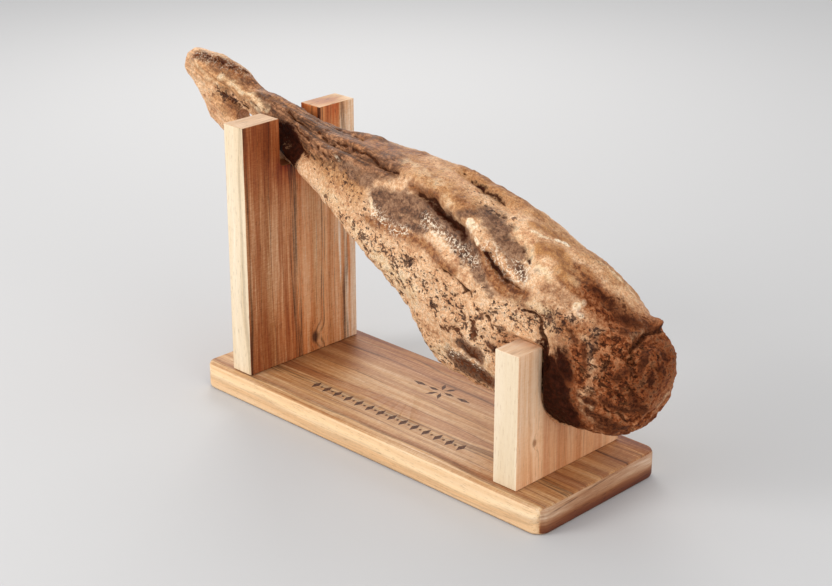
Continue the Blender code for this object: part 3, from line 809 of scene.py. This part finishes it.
    # dark specks with ragged edges, gathered in clusters where they are dense
    speckle = add("Attribute", attribute_name="speckle")["Fac"]
    crowd = add("MapRange", {"Value": middle, 1: 0.62, 2: 0.38, 3: 0.35, 4: 1.25})[0]
    dense = add("Math multiply", {0: speckle, 1: crowd}, use_clamp=True)[0]
    for size, squeeze, start, width, tint in (
            (0.0062, (0.7, 1.0, 0.8), 0.735, 0.045, "#5A361F"),
            (0.0034, (0.7, 1.0, 1.0), 0.715, 0.030, "#3A1B0B"),
            (0.0022, (0.9, 0.6, 1.0), 0.720, 0.030, "#2A1207")):
        laid = add("Mapping", {"Vector": turned, "Scale": squeeze})["Vector"]
        spots = add("TexNoise", {"Vector": laid, "Scale": 1 / size, "Detail": 3.0,
                                 "Roughness": 0.5, "Distortion": 0.3})["Fac"]
        limit = add("MapRange", {"Value": dense, 1: 0.0, 2: 1.0, 3: start, 4: start - 0.18})[0]
        above = add("Math subtract", {0: spots, 1: limit})[0]
        speck = add("MapRange", {"Value": above, 1: 0.0, 2: width, 3: 0.0, 4: 0.85})[0]
        colour = add("Mix", {0: speck, 6: colour, 7: tone(tint)}, data_type="RGBA")[2]

    # dark patches, partly dried skin and partly painted shadow and fold shade, then painted shade along the
    # creases, then soft painted shade
    for look, tones, *outline in (
            ("dark", ("#341509", "#6E3C22"), 1.00, 0.40, 0.80, 0.95),
            ("crease", ("#2E1409", "#5A3018"), 0.70, 0.30, 0.90, 0.92),
            ("shade", ("#280E05", "#3D190C"), 0.90, 0.20, 0.95, 1.0)):
        colour, mask = laid_over(colour, look, tones, (0.44, 0.62), fine, blended["rough"], 0.12, *outline)
        darkness = add("Math maximum", {0: darkness, 1: mask})[0]

    rough = add("MapRange", {"Value": fine, 1: 0.3, 2: 0.7, 3: 0.42, 4: 0.70})[0]
    relief = add("Math add", {0: fine, 1: grit})[0]
    raised = add("Bump", {"Height": relief, "Strength": 0.8, "Distance": 0.9 * MM})["Normal"]
    # dried skin is porous, and reflects less than its IOR alone would give
    sheen_left = add("MapRange", {"Value": darkness, 1: 0.0, 2: 0.8, 3: 0.26, 4: 0.05})[0]
    feed(tree, shader, {"Base Color": colour, "Roughness": rough, "Normal": raised, "IOR": 1.45,
                        "Specular IOR Level": sheen_left, "Metallic": 0.0})
    return material


def planed_elm(name, grain, pith, tones, edge, end, heart, shade_and_dark_spots, streaky, seed, knot=None, foot=0.0,
               sapwood=1.0):
    """Planed and lightly oiled elm, with its year rings as a solid through the plank.

    grain is the axis the fibres run along and pith the middle of the rings on the two other
    axes. tones are the dark, middle and light wood and its thin dark lines. edge has the two
    tones of the pale sapwood on the sawn edges towards Y, and end how far the sawn ends take on
    their own tone, and that tone. heart is the tint of the inner wood and where along Y it begins
    and ends. soaked lists places where the wood is made darker, each with its reach and
    strength; several of them are painted shade and shadow, where the ham and the uprights keep
    the light off the wood. streaky is the strength of the streaks, foot how much darker the sawn
    ends get towards their lower edge, and sapwood where along Y a pale strip begins. Lengths are
    in metres. Oiled wood is satin, with an IOR of about 1.5.
    """
    material, tree, shader, add = new_material(name)
    surface = add("TexCoord")
    place = surface["Object"]
    parts = add("SeparateXYZ", {"Vector": place})
    facing = add("VectorMath absolute", {0: surface["Normal"]})[0]
    towards = add("SeparateXYZ", {"Vector": facing})
    cut_end = add("MapRange", {"Value": towards[grain], 1: 0.68, 2: 0.74})[0]
    # on the sawn ends the figure is drawn out into fine lines along Y
    drawn_out = add("MapRange", {"Value": cut_end, 1: 0.49, 2: 0.51, 3: 1.0, 4: 0.08})[0]
    drawn_out = add("Math multiply", {0: parts["Y"], 1: drawn_out})[0]
    across = [parts["X"], drawn_out] if grain == "Z" else [drawn_out, parts["Z"]]
    lengthways = parts[grain]

    def figured(squeeze, size, detail):
        """Noise size metres across whose runs along the grain are 1 / squeeze times longer."""
        run = add("Math multiply", {0: lengthways, 1: squeeze})[0]
        laid = add("CombineXYZ", {"X": across[0], "Y": across[1], "Z": run})[0]
        laid = add("Mapping", {"Vector": laid, "Location": (seed, seed * 0.7, 0.0)})["Vector"]
        return add("TexNoise", {"Vector": laid, "Scale": 1 / size, "Detail": detail,
                                "Roughness": 0.65})["Fac"]

    def ringed(size, detail):
        """Noise that changes only from ring to ring."""
        turned = add("Math add", {0: radius, 1: seed})[0]
        return add("TexNoise", {"W": turned, "Scale": 1 / size, "Detail": detail,
                                "Roughness": 0.65}, noise_dimensions="1D")["Fac"]

    # the fibres wander slowly, and the rings with them
    wander = add("MapRange", {"Value": figured(0.22, 0.055, 2.0), 1: 0.0, 2: 1.0, 3: -0.012, 4: 0.012})[0]
    out_a = add("Math subtract", {0: across[0], 1: pith[0]})[0]
    out_b = add("Math subtract", {0: across[1], 1: pith[1]})[0]
    flat = add("CombineXYZ", {"X": out_a, "Y": out_b})[0]
    radius = add("VectorMath length", {0: flat})[1]
    radius = add("Math add", {0: radius, 1: wander})[0]
    if knot:
        # the rings swing round a small knot
        knot_across, knot_along, knot_size = knot
        side = add("Math subtract", {0: across[1], 1: knot_across})[0]
        run = add("Math subtract", {0: lengthways, 1: knot_along})[0]
        run = add("Math multiply", {0: run, 1: 0.7})[0]
        away = add("CombineXYZ", {"X": side, "Y": run})[0]
        away = add("VectorMath length", {0: away})[1]
        swing = add("MapRange", {"Value": away, 1: 0.0, 2: knot_size * 3, 3: knot_size * 1.4, 4: 0.0},
                    interpolation_type="SMOOTHERSTEP")[0]
        radius = add("Math add", {0: radius, 1: swing})[0]
    band = ringed(0.016, 3.0)
    vein = ringed(0.028, 1.0)
    broad = figured(0.035, 0.0075, 3.0)
    streaks = figured(0.028, 0.0016, 3.0)
    pores = figured(0.09, 0.0009, 1.0)
    # chatter across the grain, where the fibres ripple
    ripple = figured(4.0, 0.0045, 2.0)

    # year rings, and inside them the deeper tint of the heartwood
    dark, middle, light, line = tones
    colour = add("ValToRGB", {"Fac": band}, stops=[(0.36, dark), (0.5, middle), (0.64, light)])["Color"]
    heart_tint, heart_start, heart_end = heart
    pull_in = add("MapRange", {"Value": broad, 1: 0.3, 2: 0.7, 3: -0.014, 4: 0.014})[0]
    depth = add("Math add", {0: parts["Y"], 1: pull_in})[0]
    inner = add("MapRange", {"Value": depth, 1: heart_start, 2: heart_end}, **SMOOTH)[0]
    colour = add("Mix", {0: inner, 6: colour, 7: tone(heart_tint)}, data_type="RGBA",
                 blend_type="MULTIPLY")[2]
    # the sawn ends take on a tone of their own
    end_share, end_tone = end
    ended = add("Math multiply", {0: cut_end, 1: end_share})[0]
    # pale sapwood on the planks' outer edges, and in a strip beside them
    outside = add("Math absolute", {0: parts["Y"]})[0]
    outside = add("MapRange", {"Value": outside, 1: 0.060, 2: 0.064})[0]
    sap = add("MapRange", {"Value": towards["Y"], 1: 0.6, 2: 0.9}, **SMOOTH)[0]
    sap = add("Math multiply", {0: sap, 1: outside})[0]
    strip = add("MapRange", {"Value": depth, 1: sapwood, 2: sapwood + 0.006, 3: 0.0, 4: 0.36})[0]
    pale = add("Math maximum", {0: sap, 1: strip})[0]
    pale_tone = add("ValToRGB", {"Fac": band}, stops=[(0.4, edge[0]), (0.6, edge[1])])["Color"]

    # thin dark lines that come and go along the plank
    apart = add("Math subtract", {0: vein, 1: 0.5})[0]
    apart = add("Math absolute", {0: apart})[0]
    thin = add("MapRange", {"Value": apart, 1: 0.002, 2: 0.016, 3: 1.0, 4: 0.0})[0]
    kept = add("MapRange", {"Value": streaks, 1: 0.40, 2: 0.56, 3: 0.0, 4: 0.85 * streaky})[0]
    plain = add("MapRange", {"Value": sap, 1: 0.0, 2: 1.0, 3: 1.0, 4: 0.35})[0]
    for factor in (kept, plain):
        thin = add("Math multiply", {0: thin, 1: factor})[0]
    # pores filled with dirt
    filled = add("MapRange", {"Value": pores, 1: 0.60, 2: 0.70, 3: 0.0, 4: 0.30}, **SMOOTH)[0]
    covers = [(ended, tone(end_tone)), (pale, pale_tone), (thin, tone(line)), (filled, tone(line))]
    if knot:
        core = add("MapRange", {"Value": away, 1: knot_size * 0.3, 2: knot_size, 3: 0.8, 4: 0.0},
                   **SMOOTH)[0]
        covers.append((core, tone(line)))
    for mask, over in covers:
        colour = add("Mix", {0: mask, 6: colour, 7: over}, data_type="RGBA")[2]

    # darker wood holds more of the same pigment, so its tone is raised to a higher power
    pushes = [(strip, -0.75)]
    for source, reach in ((broad, 0.34), (streaks, 0.30), (ripple, 0.14)):
        push = add("MapRange", {"Value": source, 1: 0.3, 2: 0.7, 3: reach * streaky,
                                4: -reach * streaky})[0]
        pushes.append((push, plain))
    # darker spots, several of them painted shade and shadow
    for spot, reach, strength in shade_and_dark_spots:
        gap = add("VectorMath distance", {0: place, 1: spot})[1]
        push = add("MapRange", {"Value": gap, 1: reach * 0.3, 2: reach, 3: strength, 4: 0.0}, **SMOOTH)[0]
        pushes.append((push, plain))
    if foot:
        push = add("MapRange", {"Value": parts["Z"], 1: BOARD_LOW[2] + 1 * MM, 2: BOARD_LOW[2] + 17 * MM,
                                3: foot, 4: 0.0}, **SMOOTH)[0]
        pushes.append((push, cut_end))
    power = 1.0
    for push, share in pushes:
        push = add("Math multiply", {0: push, 1: share})[0]
        power = add("Math add", {0: power, 1: push})[0]
    colour = add("Gamma", {"Color": colour, "Gamma": power})[0]
    rough = add("MapRange", {"Value": streaks, 1: 0.3, 2: 0.7, 3: 0.48, 4: 0.62})[0]
    height = add("Math subtract", {0: streaks, 1: filled})[0]
    raised = add("Bump", {"Height": height, "Strength": 0.25, "Distance": 0.15 * MM})["Normal"]
    feed(tree, shader, {"Base Color": colour, "Roughness": rough, "Normal": raised, "IOR": 1.5,
                        "Specular IOR Level": 0.35, "Metallic": 0.0})
    return material


def scorched_wood():
    """The burnt floor of carved hollows: dull, dark brown wood, uneven at about 1 mm."""
    material, tree, shader, add = new_material("scorched carving")
    place = add("TexCoord")["Object"]
    uneven = add("TexNoise", {"Vector": place, "Scale": 1 / 0.0016, "Detail": 3.0})["Fac"]
    colour = add("ValToRGB", {"Fac": uneven}, stops=[(0.35, "#3E2416"), (0.65, "#6B4630")])["Color"]
    feed(tree, shader, {"Base Color": colour, "Roughness": 0.7, "Metallic": 0.0})
    return material


# ---- the stand

def joined_copy(node):
    """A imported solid's own shape with its loose triangles joined up."""
    form = bmesh.new()
    form.from_mesh(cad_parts[node].data)
    bmesh.ops.remove_doubles(form, verts=form.verts, dist=0.01 * MM)
    bmesh.ops.dissolve_limit(form, angle_limit=math.radians(0.5), verts=form.verts, edges=form.edges)
    return form


def make_plank(name, node, material):
    """A plank of the stand, its flats kept flat and its worn edges and curves smooth."""
    plank = new_piece(name, joined_copy(node), material)
    plank.data.set_sharp_from_angle(angle=math.radians(50))
    even = plank.modifiers.new("flat faces", "WEIGHTED_NORMAL")
    even.keep_sharp = True
    return plank


ROW_Y = -39.5 * MM
ROW_START = -94.0 * MM
ROW_END = 88.0 * MM
LOZENGES = 14
ROSETTE_PLACE = (-1.5 * MM, 30.0 * MM)
PETALS = 6
# how far the petals and the leaves lie from the rosette's middle
PETAL_REACH = 9.5 * MM
LEAF_REACH = 27 * MM
# the length, width and depth of each kind of hollow
LOZENGE = (16 * MM, 7.5 * MM, 1.6 * MM)
DOT = (3.2 * MM, 3.2 * MM, 1.0 * MM)
PETAL = (15 * MM, 5.2 * MM, 0.8 * MM)
LEAF = (20 * MM, 6.0 * MM, 0.8 * MM)


def carved_hollow(form, x, y, turn, size, sides=4):
    """One shallow pit, pointed at the bottom, with its rim just above the board's top."""
    length, width, depth = size
    made = bmesh.ops.create_cone(form, cap_ends=True, cap_tris=False, segments=sides,
                                 radius1=0.0, radius2=1.0, depth=1.0)
    verts = made["verts"]
    bmesh.ops.scale(form, vec=(length / 2, width / 2, depth), verts=verts)
    bmesh.ops.translate(form, vec=(0, 0, -depth / 2 + depth * 0.15), verts=verts)
    bmesh.ops.rotate(form, cent=(0, 0, 0), matrix=Matrix.Rotation(turn, 3, "Z"), verts=verts)
    bmesh.ops.translate(form, vec=(x, y, BOARD_HIGH[2]), verts=verts)


def carve_board(board, scorched):
    """A plain carved row of lozenges and dots, and a six-petalled rosette between two leaves."""
    form = bmesh.new()
    apart = (ROW_END - ROW_START) / (LOZENGES - 1)
    for i in range(LOZENGES):
        x = ROW_START + apart * i
        carved_hollow(form, x, ROW_Y, math.pi / 2, LOZENGE)
        if i < LOZENGES - 1:
            carved_hollow(form, x + apart / 2, ROW_Y, 0.0, DOT, sides=12)
    for i in range(PETALS):
        angle = i * 2 * math.pi / PETALS
        x = ROSETTE_PLACE[0] + PETAL_REACH * math.cos(angle)
        y = ROSETTE_PLACE[1] + PETAL_REACH * math.sin(angle)
        carved_hollow(form, x, y, angle, PETAL)
    for side in (-1, 1):
        carved_hollow(form, ROSETTE_PLACE[0] + side * LEAF_REACH, ROSETTE_PLACE[1], 0.0, LEAF)
    bmesh.ops.recalc_face_normals(form, faces=form.faces)
    cut_away(board, new_piece("carving", form, scorched))


# ---- light, floor and camera

def area_light(name, place, aim, size, power, colour):
    """A square softbox that shines from a place towards an aim."""
    lamp = bpy.data.lights.new(name, "AREA")
    lamp.shape = "SQUARE"
    lamp.size = size
    lamp.energy = power
    lamp.color = colour
    holder = bpy.data.objects.new(name, lamp)
    holder.location = place
    holder.rotation_euler = (Vector(aim) - Vector(place)).to_track_quat("-Z", "Y").to_euler()
    bpy.context.scene.collection.objects.link(holder)


def make_studio():
    """A wide pale floor, soft daylight all round, a big softbox and a weaker one behind."""
    form = bmesh.new()
    bmesh.ops.create_grid(form, x_segments=2, y_segments=2, size=9.0)
    bmesh.ops.translate(form, vec=(0, 0, CAD_LOW[2] - 0.2 * MM), verts=form.verts)
    paper, tree, shader, _ = new_material("matt paper")
    feed(tree, shader, {"Base Color": tone("#C1C2C4"), "Roughness": 0.9})
    floor = new_piece("floor", form, paper)
    world = bpy.data.worlds.new("studio")
    world.use_nodes = True
    feed(world.node_tree, world.node_tree.nodes["Background"],
         {"Color": (1.0, 0.99, 0.98, 1.0), "Strength": 0.85})
    bpy.context.scene.world = world
    area_light("key softbox", (-0.75, -1.75, 1.05), (0.0, 0.0, 0.12), 0.9, 24.0, (1.0, 0.97, 0.93))
    area_light("side fill", (2.0, -0.4, 0.7), (0.0, 0.0, 0.12), 1.4, 12.0, (1.0, 0.98, 0.96))
    area_light("back softbox", (-1.1, 0.9, 1.0), (0.0, 0.0, 0.15), 0.7, 8.0, (1.0, 0.96, 0.91))


CAMERA_PLACE = (1.0330, -1.0645, 0.7368)
CAMERA_AZIMUTH = math.radians(44.271)
CAMERA_ELEVATION = math.radians(22.195)


def make_camera():
    """A camera that looks down on the ham a little, through a slightly long lens."""
    lens = bpy.data.cameras.new("camera")
    lens.sensor_width = 36.0
    lens.lens = 78.7
    lens.clip_end = 50.0
    camera = bpy.data.objects.new("camera", lens)
    back = Vector((math.sin(CAMERA_AZIMUTH) * math.cos(CAMERA_ELEVATION),
                   -math.cos(CAMERA_AZIMUTH) * math.cos(CAMERA_ELEVATION),
                   math.sin(CAMERA_ELEVATION)))
    camera.location = CAMERA_PLACE
    camera.rotation_euler = back.to_track_quat("Z", "Y").to_euler()
    bpy.context.scene.collection.objects.link(camera)
    bpy.context.scene.camera = camera


# ---- everything together

ham = make_ham(cured_meat())
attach(ham, "root")
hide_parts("ham")

rear_elm = planed_elm(
    "oiled elm, tall upright", grain="Z", pith=(0.02, -0.42),
    tones=("#CE925F", "#DB9E6E", "#E4AD7C", "#4A2A15"), edge=("#DDC9AB", "#EAD9BF"),
    end=(0.75, "#DFC8AA"), heart=("#CCBDB1", 0.000, -0.045),
    # darker spots: painted shade at the top of the wide face, painted shadow under the ham round the notch
    # and on its floor, a darker top on the far prong, and the wide face darker towards its foot
    shade_and_dark_spots=[((REAR_HIGH[0], -0.010, REAR_HIGH[2]), 0.100, 0.66),
            ((REAR_HIGH[0], -0.020, REAR_HIGH[2] - 0.050), 0.020, 0.30),
            ((REAR_HIGH[0] - 0.011, -0.020, REAR_HIGH[2] - 0.045), 0.015, 2.50),
            ((REAR_LOW[0] + 0.004, 0.047, REAR_HIGH[2]), 0.030, 1.50),
            ((REAR_HIGH[0], -0.040, REAR_LOW[2]), 0.100, 0.42)],
    streaky=1.0, seed=0.31, knot=(0.012, 0.040, 0.006), sapwood=0.048)
rear = make_plank("tall_upright", "rear_upright", rear_elm)
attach(rear, "root")
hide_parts("rear_upright")

front_elm = planed_elm(
    "oiled elm, low upright", grain="Z", pith=(0.30, -0.36),
    tones=("#DEB18C", "#E8C09B", "#EFCCAB", "#A67A55"), edge=("#DFCBAD", "#ECDBC1"),
    end=(0.6, "#E2CBB0"), heart=("#EADCD0", -0.050, 0.000),
    shade_and_dark_spots=[((FRONT_HIGH[0], -0.020, FRONT_LOW[2]), 0.085, 0.40)],
    streaky=0.6, seed=1.7, knot=(-0.045, 0.062, 0.0035))
front = make_plank("low_upright", "front_upright", front_elm)
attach(front, "root")
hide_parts("front_upright")

board_elm = planed_elm(
    "oiled elm, board", grain="X", pith=(0.13, -0.10),
    tones=("#AF805A", "#C3996E", "#D2AB7F", "#5E3A22"), edge=("#E2BB8F", "#F0D0A6"),
    end=(0.80, "#C09E83"), heart=("#C9A584", 0.000, 0.070),
    # painted shadow on the top between the low upright and the board's end, and painted shade round the
    # tall upright's foot
    shade_and_dark_spots=[((0.185, -0.005, BOARD_HIGH[2]), 0.075, 0.50),
            ((REAR_HIGH[0] + 0.010, 0.000, BOARD_HIGH[2]), 0.070, 0.45)],
    streaky=0.9, seed=2.9, foot=2.4)
board = make_plank("board", "base_board", board_elm)
carve_board(board, scorched_wood())
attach(board, "root")
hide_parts("base_board")

make_studio()
make_camera()
bpy.context.scene.view_settings.view_transform = "Standard"
